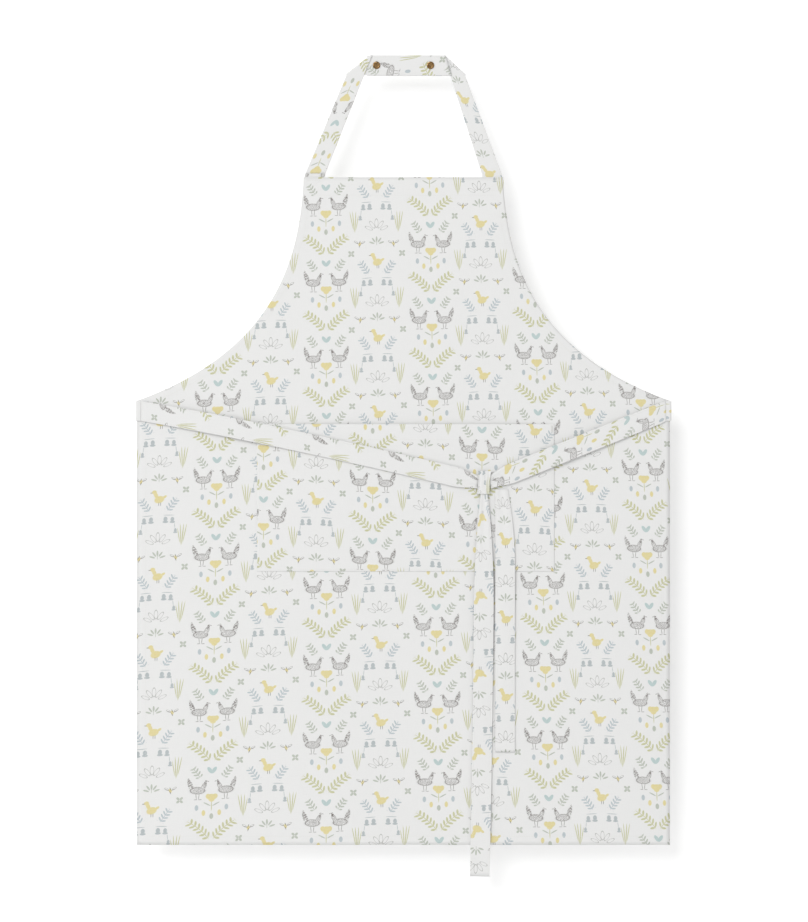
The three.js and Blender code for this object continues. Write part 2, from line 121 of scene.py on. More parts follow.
def clothFrom(name, grids, thickness, materials):
    # grids: list of (points, print positions), each rows x columns, facing the viewer of the print
    points, faces, uvs = [], [], []
    start = 0
    for grid, printAt in grids:
        rows, columns = grid.shape[:2]
        points.append(grid.reshape(-1, 3))
        flat = printAt.reshape(-1, 2)
        for i in range(rows - 1):
            for j in range(columns - 1):
                here = i * columns + j
                corner = [here, here + columns, here + columns + 1, here + 1]
                faces.append([start + k for k in corner])
                uvs.append(flat[corner])
        start += rows * columns
    piece = finishMesh(name, np.concatenate(points), faces, np.concatenate(uvs), materials)
    reverse = len(materials) - 1
    applyModifier(piece, "SOLIDIFY", thickness=thickness / 1000, offset=0, material_offset=reverse)
    return piece


topstitches = {}  # for each strap and tie, the lines along which it is topstitched
ribbonEdge = [0, 0.12, 0.45, 1.1, 1.8, 2.4, 3.0, 4.2, 6.4, 9.6]  # a strap's columns, from its edge inwards
furrow = {"inset": 2.4, "depth": 0.3, "width": 0.6}  # pressed in by the topstitching


def ribbonFrom(name, left, right, facing, thickness, nominal, printAt, upward, materials, pleats=None):
    # a flat tube of folded cloth between a left and a right edge, its print running along it
    left, right, facing = (np.asarray(part, float) for part in (left, right, facing))
    inward = np.array(ribbonEdge) / nominal
    c = np.concatenate([inward, [0.5], 1 - inward[::-1]])
    k = len(c)
    middle = left[:, None] * (1 - c)[None, :, None] + right[:, None] * c[None, :, None]
    if pleats is not None:
        share = np.linspace(0, 1, len(left))[:, None]
        middle = middle + facing[:, None] * pleats(share, c[None, :])[..., None]
    nearEdge = np.minimum(c, 1 - c) * nominal
    rounded = 0.8 * thickness  # how far in from an edge the fold is round
    half = thickness / 2 * (1 - (1 - np.minimum(nearEdge / rounded, 1)) ** 2) ** 0.5
    half = half * (1 - furrow["depth"] * np.exp(-(((nearEdge - furrow["inset"]) / furrow["width"]) ** 2)))
    front = middle + facing[:, None] * half[None, :, None]
    back = middle - facing[:, None] * half[None, :, None]
    ring = np.concatenate([front, back[:, -2:0:-1]], axis=1)
    steps = np.linalg.norm(np.diff(middle, axis=0), axis=2)
    along = np.concatenate([np.zeros((1, k)), np.cumsum(steps, axis=0)])
    along = np.concatenate([along, along[:, -2::-1]], axis=1)
    around = np.concatenate([c * nominal, 2 * nominal - c[-2::-1] * nominal])
    rows, m = ring.shape[:2]
    printU = np.broadcast_to(printAt[0] + around[None], (rows, m + 1))
    printV = printAt[1] + upward * along
    faces, uvs = [], []
    for i in range(rows - 1):
        for j in range(m):
            n = (j + 1) % m
            faces.append([i * m + j, i * m + n, (i + 1) * m + n, (i + 1) * m + j])
            uvs += [
                (printU[i, j], printV[i, j]),
                (printU[i, j + 1], printV[i, j + 1]),
                (printU[i + 1, j + 1], printV[i + 1, j + 1]),
                (printU[i + 1, j], printV[i + 1, j]),
            ]
    for i in (0, rows - 1):  # the closed ends, strip by strip
        for j in range(k - 1):
            quad = [i * m + j, i * m + j + 1, i * m + (m - j - 1) % m, i * m + (m - j) % m]
            quad = [q for n, q in enumerate(quad) if q not in quad[:n]]
            if len(quad) < 3:
                continue
            faces.append(quad[::-1] if i == 0 else quad)
            uvs += [(printU[i, min(j, m)], printV[i, j])] * len(quad)
    piece = finishMesh(name, ring.reshape(-1, 3), faces, uvs, materials)
    turnFacesOut(piece)
    sewnAt = ribbonEdge.index(furrow["inset"])
    for surface, outward in ((front, facing), (back, -facing)):
        for column in (sewnAt, k - 1 - sewnAt):
            topstitches.setdefault(name, []).append((surface[:, column], outward))
    return piece


def bezier(points, t):
    p0, p1, p2, p3 = (np.array(p, float) for p in points)
    t = np.asarray(t)[:, None]
    return (1 - t) ** 3 * p0 + 3 * (1 - t) ** 2 * t * p1 + 3 * (1 - t) * t**2 * p2 + t**3 * p3


def drape(x, z):  # the cloth's soft waves, in millimetres to the back
    low = np.clip((sideTop - z) / (sideTop - hemBottom), 0, 1)
    waves = np.sin(x / 61 + 1.3) * low**1.6 + 0.6 * np.sin(x / 33 + z / 190) * low
    waves = waves + 0.5 * np.sin(x / 97 - z / 120 + 2)
    return panelCloth["waveDepth"] * waves * np.clip((bibTop - z) / 60, 0, 1)


printSkew = {  # how the print runs out of square with the cut: shares of 1, x, z, xz, xx and zz
    "across": (6.7, 3.6, -4.7, -15.3, -7.9, -0.8),
    "up": (2.3, 7.7, -5.9, -1.4, -6.0, -4.0),
    "middle": -570,
    "reach": 440,
}


def panelPrint(x, z):  # where the print falls on the panel's flat cloth
    across, up = x / halfApron, (z - printSkew["middle"]) / printSkew["reach"]
    terms = [1, across, up, across * up, across**2, up**2]
    shift = [sum(share * term for share, term in zip(printSkew[way], terms)) for way in ("across", "up")]
    return np.stack([x - shift[0], z - shift[1]], axis=-1)


def linear(*rgb):  # a screen colour of 0 to 255 as the linear colour that nodes take
    return tuple(v / 255 / 12.92 if v <= 10 else ((v / 255 + 0.055) / 1.055) ** 2.4 for v in rgb) + (1,)


class nodeDesk:  # adds and joins the nodes of one material or group
    def __init__(self, tree):
        self.tree = tree

    def put(self, kind, inputs=(), **settings):
        node = self.tree.nodes.new("ShaderNode" + kind)
        for key, value in settings.items():
            setattr(node, key, value)
        for key, value in dict(inputs).items():
            self.join(value, node.inputs[key])
        return node

    def join(self, value, socket):
        if isinstance(value, bpy.types.NodeSocket):
            self.tree.links.new(value, socket)
        else:
            socket.default_value = value

    def math(self, operation, *values):
        return self.put("Math", enumerate(values), operation=operation).outputs[0]

    def least(self, values):
        values = list(values)
        while len(values) > 1:
            values.append(self.math("MINIMUM", values.pop(0), values.pop(0)))
        return values[0]

    def turned(self, point, x, z, turn, scale=(1, 1, 1)):  # a motif's own place, from its middle
        place = {"Vector": point, "Location": (x, z, 0), "Rotation": (0, 0, turn), "Scale": scale}
        return self.put("Mapping", place, vector_type="TEXTURE").outputs[0]

    def blot(self, point, x, z, width, height, turn=0):  # 1 on an oval's rim and less inside it
        local = self.turned(point, x, z, turn, (width, height, 1))
        return self.put("VectorMath", {0: local}, operation="LENGTH").outputs["Value"]

    def rim(self, oval, share):  # turns an oval into its outline
        return self.math("DIVIDE", self.math("ABSOLUTE", self.math("SUBTRACT", oval, 1 - share)), share)

    def sprig(self, point, x, z, turn, length, pitch, leaf, bow=0.0):
        # pairs of leaves up a stem; leaf is its distance from the stem, half length and half width
        leafLean, stemHalf = 0.62, 0.42
        local = self.put("SeparateXYZ", {0: self.turned(point, x, z, turn)})
        up = local.outputs[1]
        side = self.math("MULTIPLY_ADD", self.math("MULTIPLY", up, up), bow, local.outputs[0])
        wide = self.math("ABSOLUTE", side)
        step = self.math("SUBTRACT", self.math("FLOORED_MODULO", up, pitch), pitch / 2)
        cell = self.put("CombineXYZ", {0: wide, 1: step}).outputs[0]
        leaves = self.blot(cell, leaf[0], 0, leaf[1], leaf[2], leafLean)
        stem = self.math("DIVIDE", wide, stemHalf)
        reach = self.math("DIVIDE", self.math("ABSOLUTE", up), length / 2)
        return self.math("MAXIMUM", self.least([leaves, stem]), reach)

    def ink(self, distance, spread):  # 1 inside a shape and 0 outside, soft over its rim
        ends = {"Value": distance, "From Min": 1 + spread, "From Max": 1 - spread}
        return self.put("MapRange", ends, interpolation_type="SMOOTHSTEP").outputs[0]

    def over(self, base, colour, mask, blend="MIX"):
        mix = self.put("Mix", data_type="RGBA", blend_type=blend)
        for key, value in ((0, mask), (6, base), (7, colour)):
            self.join(value, mix.inputs[key])
        return mix.outputs[2]


def newGroup(name, inputs, outputs):
    group = bpy.data.node_groups.new(name, "ShaderNodeTree")
    for label, kind in inputs:
        group.interface.new_socket(name=label, in_out="INPUT", socket_type=kind)
    for label, kind in outputs:
        group.interface.new_socket(name=label, in_out="OUTPUT", socket_type=kind)
    start = group.nodes.new("NodeGroupInput")
    end = group.nodes.new("NodeGroupOutput")
    return group, nodeDesk(group), start.outputs, end.inputs


printRepeat = {
    "columnPitch": 140.0,
    "rowPitch": 102.3,
    "stagger": 49.0,
    "posyAt": (34.0, -294.5),  # a heart of the posy columns
    "meadowAt": (101.5, -294.5),
    "posyFloor": -90.3,  # where a row of motifs ends below its heart
    "meadowFloor": -86.0,
    "inkLeast": 0.66,  # the ink's strength where it took worst, and what the noise adds
    "inkSpan": 0.6,
    "ground": (234, 234, 233),
    "leaf": (198, 198, 156),
    "teal": (187, 204, 203),
    "yellow": (225, 213, 157),
    "dark": (104, 97, 92),
    "blueGrey": (188, 197, 201),
    "slate": (182, 189, 191),
    "sage": (188, 193, 182),
    "pale": (188, 188, 185),
}


def foldedColumn(n, x, z, at, floor):
    # the plain and the mirrored place within one motif column, its rows staggered by half a repeat
    pitch, rowPitch = printRepeat["columnPitch"], printRepeat["rowPitch"]
    shifted = n.math("ADD", x, pitch / 2 - at[0])
    column = n.math("FLOOR", n.math("DIVIDE", shifted, pitch))
    inside = n.math("SUBTRACT", n.math("FLOORED_MODULO", shifted, pitch), pitch / 2)
    odd = n.math("FLOORED_MODULO", column, 2.0)
    level = n.math("MULTIPLY_ADD", odd, printRepeat["stagger"], n.math("SUBTRACT", z, at[1]))
    level = n.math("ADD", n.math("FLOORED_MODULO", n.math("SUBTRACT", level, floor), rowPitch), floor)
    plain = n.put("CombineXYZ", {0: inside, 1: level}).outputs[0]
    mirrored = n.put("CombineXYZ", {0: n.math("ABSOLUTE", inside), 1: level}).outputs[0]
    return plain, mirrored


def buildPrint():
    given = [("Place", "NodeSocketVector"), ("Strength", "NodeSocketFloat")]
    group, n, given, result = newGroup("countryPrint", given, [("Color", "NodeSocketColor")])
    place = n.put("SeparateXYZ", {0: given["Place"]})
    x, z = place.outputs[0], place.outputs[1]
    posy = foldedColumn(n, x, z, printRepeat["posyAt"], printRepeat["posyFloor"])[1]
    meadow, mirror = foldedColumn(n, x, z, printRepeat["meadowAt"], printRepeat["meadowFloor"])
    blot, b = n.blot, {}  # a blot's x, z, half width, half height and turn, in millimetres from the heart
    b["teal"] = [blot(posy, 2.5, 0.6, 2.3, 4.9, -0.6)]
    b["sage"] = [
        n.sprig(posy, 18.7, -2.0, -0.6, 15, 4.6, (2.5, 2.9, 1.05)),
        blot(posy, 0, -59.5, 2.3, 3.7),
        blot(posy, 5.4, -43.6, 4.9, 0.8, 0.5),
        blot(mirror, 0, -70.6, 1.2, 3.7),
        blot(mirror, 3.9, -71.9, 3.8, 1.1, 0.95),
        blot(mirror, 6.4, -75.4, 3.7, 1.1, 0.32),
        blot(mirror, 0, -76, 0.35, 3.0),
        blot(mirror, 32.0, 14.3, 2.3, 1.5, -0.785),
        blot(mirror, 36.0, 14.3, 2.3, 1.5, 0.785),
        blot(mirror, 32.0, 10.3, 2.3, 1.5, 0.785),
        blot(mirror, 36.0, 10.3, 2.3, 1.5, -0.785),
    ]
    b["leaf"] = [
        n.sprig(posy, 14.4, -75.6, -0.84, 33, 5.5, (3.2, 3.5, 1.25), -0.007),
        blot(posy, 0, -46.0, 0.5, 6.5),
        blot(mirror, 28.2, -47, 0.6, 14, 0.05),
        blot(mirror, 30.8, -46.5, 0.65, 13.5, -0.08),
        blot(mirror, 33.4, -45, 0.55, 12, -0.19),
        blot(mirror, 25.8, -48, 0.5, 10, 0.17),
    ]
    b["yellow"] = [
        blot(posy, 0, -34.4, 6.6, 3.9),
        blot(posy, 4.2, -33.4, 3.0, 3.2, -0.5),
        blot(posy, 0, -37.0, 3.8, 3.7),
        blot(posy, 9.5, -55, 2.2, 3.7),
        blot(meadow, 0.8, 0.6, 6.2, 4.6, 0.3),
        blot(meadow, -3.4, 6.4, 2.4, 4.6, 0.35),
        blot(meadow, -5.4, 10.4, 3.0, 2.7),
        blot(meadow, 7.4, 3.8, 3.0, 1.6, 0.6),
        blot(mirror, 22.6, -77, 1.7, 2.6, 0.35),
    ]
    b["blueGrey"] = [
        blot(posy, 18, -48, 2.2, 3.7),
        n.sprig(mirror, 17, -6.5, -0.6, 19, 4.6, (2.6, 3.0, 1.0)),
    ]
    b["slate"] = [
        blot(mirror, 9, -25.8, 2.5, 3.4),
        blot(mirror, 9, -29.4, 3.5, 1.5),
        blot(mirror, 17.6, -26.4, 2.3, 3.2),
        blot(mirror, 17.6, -29.9, 3.3, 1.4),
        blot(mirror, 21.6, -41.0, 1.7, 2.6),
        blot(mirror, 21.6, -43.8, 2.6, 1.1),
        blot(mirror, 13.2, -20.6, 6.8, 0.45, -0.05),
        blot(mirror, 20.6, -35.0, 0.35, 4.0, 0.12),
    ]
    # birds drawn in short broken strokes, darker at the tail and the neck
    plumes = n.least([
        blot(posy, 27.6, -15.4, 1.7, 6.4, -0.12),
        blot(posy, 24.6, -17.6, 1.5, 5.6, -0.34),
        blot(posy, 7.6, -15.2, 1.5, 3.0, 0.25),
    ])
    body = n.least([blot(posy, 17.2, -25.4, 9.2, 4.6, 0.05), blot(posy, 9.6, -20.2, 2.6, 5.4, 0.42)])
    rough = n.put("TexNoise", {"Vector": given["Place"], "Scale": 0.5, "Detail": 1.0}).outputs[0]
    slanted = n.math("MULTIPLY_ADD", x, 0.45, n.math("MULTIPLY_ADD", rough, 2.6, z))
    hatch = n.math("MULTIPLY_ADD", n.math("SINE", n.math("MULTIPLY", slanted, 3.1)), -0.55, 0.95)
    across = n.math("MULTIPLY_ADD", x, -0.8, n.math("MULTIPLY_ADD", rough, 3.5, z))
    fine = n.math("MULTIPLY_ADD", n.math("SINE", n.math("MULTIPLY", across, 3.9)), -0.4, 1.08)
    b["dark"] = [n.math("MAXIMUM", plumes, hatch)]
    b["thin"] = [
        n.math("MAXIMUM", body, fine),
        n.rim(body, 0.07),
        blot(posy, 15.4, -33.2, 0.35, 4.4, 0.12),
        blot(posy, 18.8, -33.0, 0.35, 4.2, -0.12),
        blot(posy, 13.9, -37.4, 2.0, 0.35),
        blot(posy, 19.4, -37.2, 2.0, 0.35),
        blot(posy, 4.6, -13.8, 1.3, 0.4, 0.4),
        blot(meadow, 0.2, -5.6, 0.4, 2.4),
        blot(meadow, 2.6, -5.6, 0.4, 2.4),
        blot(meadow, -9.2, 9.8, 1.5, 0.5),
        blot(mirror, 22.6, -74.6, 0.5, 2.2, 0.35),
        blot(mirror, 22.6, -79.4, 0.5, 2.2, 0.35),
        blot(mirror, 26.2, -75.6, 3.0, 0.35, 0.5),
        blot(mirror, 19.0, -75.8, 3.0, 0.35, -0.4),
    ]
    b["pale"] = [
        n.rim(blot(mirror, 0, -49.0, 2.5, 6.4), 0.1),
        n.rim(blot(mirror, 5.6, -51.0, 2.3, 6.2, -0.62), 0.1),
        n.rim(blot(mirror, 10.2, -55.6, 2.1, 5.8, -1.12), 0.1),
        n.rim(blot(mirror, 27.4, -74.2, 3.2, 1.5, 0.55), 0.16),
        n.rim(blot(mirror, 18.0, -74.6, 3.0, 1.4, -0.5), 0.16),
    ]
    uneven = n.put("TexNoise", {"Vector": given["Place"], "Scale": 0.45, "Detail": 2.0}).outputs[0]
    taken = n.math("MULTIPLY_ADD", uneven, printRepeat["inkSpan"], printRepeat["inkLeast"])
    amount = n.math("MULTIPLY", taken, given["Strength"])
    colour = linear(*printRepeat["ground"])
    dyes = {"thin": "dark"}
    for name in ("pale", "sage", "leaf", "teal", "blueGrey", "slate", "yellow", "dark", "thin"):
        mask = n.ink(n.least(b[name]), 0.3 if name in ("dark", "thin", "pale") else 0.14)
        strength = n.math("MULTIPLY", amount, 0.75) if name == "thin" else amount
        dye = linear(*printRepeat[dyes.get(name, name)])
        colour = n.over(colour, dye, n.math("MULTIPLY", mask, strength))
    n.join(colour, result["Color"])
    return group


weave = {
    "slub": (0.08, 1.6),  # how a yarn's thick places run, along it and across it
    "slubTone": 0.05,
    # painted shade: darker in the dips between the yarn crossings and lighter on their crowns, following the
    # bump
    "crossingShade": 0.012,
    "slubHeight": 0.25,
    "yarnHeight": 0.25,
    "creaseHeight": 2.2,
}


def buildWeave():
    group, n, given, result = newGroup(
        "plainWeave",
        [("Place", "NodeSocketVector"), ("Color", "NodeSocketColor"), ("Pitch", "NodeSocketFloat")],
        [("Color", "NodeSocketColor"), ("Height", "NodeSocketFloat")],
    )
    place = n.put("SeparateXYZ", {0: given["Place"]})
    turns = n.math("DIVIDE", 2 * math.pi, given["Pitch"])
    warp = n.math("SINE", n.math("MULTIPLY", place.outputs[0], turns))
    weft = n.math("SINE", n.math("MULTIPLY", place.outputs[1], turns))
    yarns = n.math("MULTIPLY", warp, weft)
    both = []
    for scale in (weave["slub"], weave["slub"][::-1]):
        stretched = n.put("Mapping", {"Vector": given["Place"], "Scale": (*scale, 1)}).outputs[0]
        both.append(n.put("TexNoise", {"Vector": stretched, "Scale": 1.0, "Detail": 3.0}).outputs[0])
    slubs = n.math("ADD", *both)
    folds = {"Vector": given["Place"], "Scale": 0.035, "Detail": 3.0, "Roughness": 0.6}
    crease = n.put("TexNoise", folds).outputs[0]
    tone = n.math("MULTIPLY_ADD", slubs, weave["slubTone"], 1 - weave["slubTone"])
    # painted shade and light at the yarn crossings, matched to the bump height; the slubs' tone is the
    # yarn's own unevenness
    tone = n.math("MULTIPLY_ADD", yarns, weave["crossingShade"], tone)
    shade = n.put("CombineColor", {0: tone, 1: tone, 2: tone}).outputs[0]
    n.join(n.over(given["Color"], shade, 1.0, "MULTIPLY"), result["Color"])
    height = n.math("MULTIPLY", yarns, weave["yarnHeight"])
    height = n.math("MULTIPLY_ADD", slubs, weave["slubHeight"], height)
    height = n.math("MULTIPLY_ADD", crease, weave["creaseHeight"], height)
    n.join(height, result["Height"])
    return group


cotton = {"roughness": 0.86, "sheen": 0.12, "bump": 0.10, "weavePitch": 0.52, "reverseInk": 0.28}


def newMaterial(name):
    material = bpy.data.materials.new(name)
    material.use_nodes = True
    return material, nodeDesk(material.node_tree), material.node_tree.nodes["Principled BSDF"]


def cottonMaterial(name, ink):
    material, n, surface = newMaterial(name)
    uv = n.put("UVMap", uv_map="printMap").outputs[0]
    place = n.put("VectorMath", {0: uv, 3: 1000.0}, operation="SCALE").outputs[0]
    dyed = n.put("Group", node_tree=printGroup)
    n.join(place, dyed.inputs["Place"])
    n.join(ink, dyed.inputs["Strength"])
    woven = n.put("Group", node_tree=weaveGroup)
    n.join(place, woven.inputs["Place"])
    n.join(dyed.outputs["Color"], woven.inputs["Color"])
    n.join(cotton["weavePitch"], woven.inputs["Pitch"])
    relief = {"Height": woven.outputs["Height"], "Strength": cotton["bump"], "Distance": 0.001}
    bump = n.put("Bump", relief)
    n.join(woven.outputs["Color"], surface.inputs["Base Color"])
    n.join(bump.outputs[0], surface.inputs["Normal"])
    surface.inputs["Roughness"].default_value = cotton["roughness"]
    surface.inputs["Sheen Weight"].default_value = cotton["sheen"]
    surface.inputs["Sheen Roughness"].default_value = 0.5
    surface.inputs["Specular IOR Level"].default_value = 0.25
    return material


# shade is painted shade in the hollows between the thread's plies, light is painted light on their crowns
thread = {"shade": (214, 214, 209), "light": (240, 240, 236), "roughness": 0.55, "sheen": 0.2}


def threadMaterial():
    material, n, surface = newMaterial("sewingThread")
    place = n.put("TexCoord").outputs["Object"]
    plies = n.put("TexNoise", {"Vector": place, "Scale": 5200.0, "Detail": 2.0}).outputs[0]
    # the ply noise that raises the bump also colours the thread: painted light on the raised plies, painted
    # shade in the hollows
    tone = n.put("ValToRGB", {0: plies})
    tone.color_ramp.elements[0].color = linear(*thread["shade"])
    tone.color_ramp.elements[1].color = linear(*thread["light"])
    bump = n.put("Bump", {"Height": plies, "Strength": 0.35, "Distance": 0.0002})
    n.join(tone.outputs[0], surface.inputs["Base Color"])
    n.join(bump.outputs[0], surface.inputs["Normal"])
    surface.inputs["Roughness"].default_value = thread["roughness"]
    surface.inputs["Sheen Weight"].default_value = thread["sheen"]
    return material


brass = {
    "tarnish": (66, 50, 34),
    "aged": (132, 102, 66),
    "worn": (214, 182, 130),
    "stops": (0.3, 0.52, 0.72),  # where the patches turn from one to the next
    "roughness": 0.46,
    "polish": 0.25,  # how much smoother the worn places are
}


def brassMaterial():
    material, n, surface = newMaterial("antiqueBrass")
    place = n.put("TexCoord").outputs["Object"]
    mottle = {"Vector": place, "Scale": 900.0, "Detail": 4.0, "Roughness": 0.65}
    patches = n.put("TexNoise", mottle).outputs[0]
    tone = n.put("ValToRGB", {0: patches})
    ramp = tone.color_ramp.elements
    ramp[0].position, ramp[1].position = brass["stops"][0], brass["stops"][2]
    ramp.new(brass["stops"][1])
    for stop, name in zip(ramp, ("tarnish", "aged", "worn")):
        stop.color = linear(*brass[name])
    rough = n.math("MULTIPLY_ADD", patches, -brass["polish"], brass["roughness"])
    scratches = n.put("TexNoise", {"Vector": place, "Scale": 4000.0, "Detail": 2.0}).outputs[0]
    bump = n.put("Bump", {"Height": scratches, "Strength": 0.12, "Distance": 0.0002})
    n.join(tone.outputs[0], surface.inputs["Base Color"])
    n.join(rough, surface.inputs["Roughness"])
    n.join(bump.outputs[0], surface.inputs["Normal"])
    surface.inputs["Metallic"].default_value = 1.0
    return material


printGroup = buildPrint()
weaveGroup = buildWeave()
cottonFace = cottonMaterial("printedCotton", 1.0)
cottonReverse = cottonMaterial("printedCottonReverse", cotton["reverseInk"])
threadFinish = threadMaterial()
brassFinish = brassMaterial()
print("materials made")


def panelRows():  # the right half's outline from the bib down: the armhole's curve, then the side
    handle = panelCloth["armholeSideHandle"]
    curve = bezier(
        [
            (halfBib, bibTop),
            (halfBib + panelCloth["armholeTopLean"], bibTop - panelCloth["armholeTopHandle"]),
            (halfApron - handle[0], sideTop + handle[1]),
            (halfApron, sideTop),
        ],
        np.linspace(0, 1, panelCloth["armholeRows"] + 1),
    )
    skirt = np.linspace(sideTop, hemBottom, panelCloth["skirtRows"] + 1)[1:]
    return curve, np.concatenate([curve, np.stack([np.full(len(skirt), halfApron), skirt], axis=1)])


armhole, sideLine = panelRows()
clearance = 0.05
faceLevel = panelFront + clearance + panelCloth["thickness"] / 2  # middle of the panel's cloth
hemLevels = {"single": -6.05, "double": -5.55}  # middle of the turned hems at the back


def buildPanel():
    fold = (hemLevels["single"] - faceLevel) / 2
    edge = sideLine - [fold, 0]
    edge[0, 1] -= fold
    edge[-1, 1] += fold
    across = np.linspace(-1, 1, panelCloth["columns"] + 1)
    x = edge[:, :1] * across[None]
    z = np.broadcast_to(edge[:, 1:], x.shape)
    grid = np.stack([x, faceLevel + drape(x, z), z], axis=2)
    cloths = [cottonFace, cottonReverse]
    return clothFrom("apronPanel", [(grid, panelPrint(x, z))], panelCloth["thickness"], cloths)


def squareTo(edge):  # unit steps to the left of a line's way
    along = np.gradient(edge, axis=0)
    along /= np.linalg.norm(along, axis=1)[:, None]
    return np.stack([-along[:, 1], along[:, 0]], axis=1)


def hemGrid(edge, width, level):
    # cloth turned round an edge to the back; the edge runs so that the panel lies on its left
    inward = squareTo(edge)
    radius = (level - faceLevel) / 2
    turn = np.linspace(0, math.pi, 9)
    flatPart = np.linspace(radius, width, 6)[1:]
    depth = np.concatenate([radius - radius * np.sin(turn), flatPart])
    level = np.concatenate([faceLevel + radius - radius * np.cos(turn), np.full(5, level)])
    length = np.concatenate([radius * turn, radius * math.pi + flatPart - radius])
    flat = edge[:, None] + inward[:, None] * depth[None, :, None]
    x, z = flat[..., 0], flat[..., 1]
    grid = np.stack([x, level[None] + drape(x, z), z], axis=2)
    printed = edge[:, None] - inward[:, None] * (length - radius)[None, :, None]
    return grid[:, ::-1], panelPrint(printed[..., 0], printed[..., 1])[:, ::-1]


def evenly(start, end, step=6.0):
    start, end = np.array(start, float), np.array(end, float)
    count = max(2, int(np.linalg.norm(end - start) / step) + 1)
    return start + (end - start) * np.linspace(0, 1, count)[:, None]


mirrorX = np.array([-1, 1])
edges = {
    "bottom": evenly((-halfApron, hemBottom), (halfApron, hemBottom)),
    "rightSide": evenly((halfApron, hemBottom), (halfApron, sideTop)),
    "rightArmhole": armhole[::-1],
    "bibTop": evenly((halfBib, bibTop), (-halfBib, bibTop)),
    "leftArmhole": armhole * mirrorX,
    "leftSide": evenly((-halfApron, sideTop), (-halfApron, hemBottom)),
}


def buildHems():
    hems = {
        "rightSide": ("side", "single"),
        "leftSide": ("side", "single"),
        "rightArmhole": ("armhole", "single"),
        "leftArmhole": ("armhole", "single"),
        "bibTop": ("bib", "double"),
        "bottom": ("bottom", "double"),
    }
    grids = []
    for edge, (width, level) in hems.items():
        grids.append(hemGrid(edges[edge], panelCloth["hemWidths"][width], hemLevels[level]))
    return clothFrom("apronHems", grids, panelCloth["hemThickness"], [cottonFace, cottonFace])


apronPanel = buildPanel()
apronHems = buildHems()
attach(apronPanel, "apron")
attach(apronHems, "apron")
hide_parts("apron_panel")
cut = panelCloth["turnings"]
turned = 2 * halfApron * cut["bottom"] + 2 * (sideTop - hemBottom) * cut["side"]
turned += 2 * panelCloth["armholeRun"] * cut["armhole"] + 2 * halfBib * cut["bib"]

pocketCloth = {
    "thickness": 0.5,
    "forward": 0.75,  # from the panel's front to the middle of the pocket's cloth
    "slack": 2.4,
    "gape": 0.35,  # the mouth stands off this much more, over this share of the depth
    "gapeShare": 0.12,
    "rolled": 0.35,  # the sewn edges roll back this much, over this width
    "rolledWidth": 1.2,
    "mouthHem": 20,
    "columns": 72,
    "rows": 40,
    "closeRows": (0.4, 0.9, 1.6),  # rows and columns close to the sewn edges
    "printShift": (-69.0, 172.0),
    "printPivot": 103,
    "printLean": (-0.0236, 0.0386),
}
pocketMiddle = (pocketLow[0] + pocketHigh[0]) / 2
pocketHalf = (pocketHigh[0] - pocketLow[0]) / 2
pocketTall = pocketHigh[2] - pocketLow[2]


def pocketLevel(x, z):  # middle of the pocket's cloth
    across = np.clip(np.abs((x - pocketMiddle) / pocketHalf), 0, 1)
    down = np.clip((pocketHigh[2] - z) / pocketTall, 0, 1)
    slack = pocketCloth["slack"] * (1 - across**4) * (1 - down**2)
    gape = pocketCloth["gape"] * np.clip(1 - down / pocketCloth["gapeShare"], 0, 1)
    fromEdge = np.minimum((1 - across) * pocketHalf, (1 - down) * pocketTall)
    rolled = pocketCloth["rolled"] * np.clip(1 - fromEdge / pocketCloth["rolledWidth"], 0, 1) ** 2
    return panelFront - pocketCloth["forward"] - slack - gape + rolled + drape(x, z)


def buildPocket():
    close = np.array([0, *pocketCloth["closeRows"]])
    wide = np.linspace(3, 2 * pocketHalf - 3, pocketCloth["columns"] - 7)
    x = pocketLow[0] + np.concatenate([close, wide, 2 * pocketHalf - close[::-1]])
    down = np.linspace(close[1], pocketTall - 3, pocketCloth["rows"])
    down = np.concatenate([down, pocketTall - close[::-1]])
    turn = np.linspace(0, math.pi, 7)
    radius = 0.32
    rows, printed = [], []  # each row's height and how far back it lies, and its place on the flat cloth
    for d in np.linspace(pocketCloth["mouthHem"], radius, 7)[:-1]:  # the hem inside the mouth
        rows.append((pocketHigh[2] - d, 2 * radius))
        printed.append(pocketHigh[2] + d)
    for a in turn[::-1]:
        rows.append((pocketHigh[2] - radius + radius * math.sin(a), radius - radius * math.cos(a)))
        printed.append(pocketHigh[2] + radius * (a - math.pi / 2))
    for d in down[1:]:
        rows.append((pocketHigh[2] - d, 0))
        printed.append(pocketHigh[2] - d)
    z = np.broadcast_to(np.array([r[0] for r in rows])[:, None], (len(rows), len(x)))
    back = np.array([r[1] for r in rows])[:, None]
    xs = np.broadcast_to(x[None], z.shape)
    grid = np.stack([xs, pocketLevel(xs, z) + back, z], axis=2)
    aside = xs - pocketCloth["printPivot"]
    (shiftX, shiftZ), (leanX, leanZ) = pocketCloth["printShift"], pocketCloth["printLean"]
    printZ = np.array(printed)[:, None] + shiftZ + leanZ * aside
    lay = np.stack([xs + shiftX + leanX * aside, printZ], axis=2)
    return clothFrom("pocketPatch", [(grid, lay)], pocketCloth["thickness"], [cottonFace, cottonReverse])


pocketPatch = buildPocket()
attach(pocketPatch, "apron")
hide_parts("pocket")
print("pocket made")

stitch = {"length": 2.3, "pitch": 2.8, "width": 0.42, "height": 0.26, "dip": 0.35}


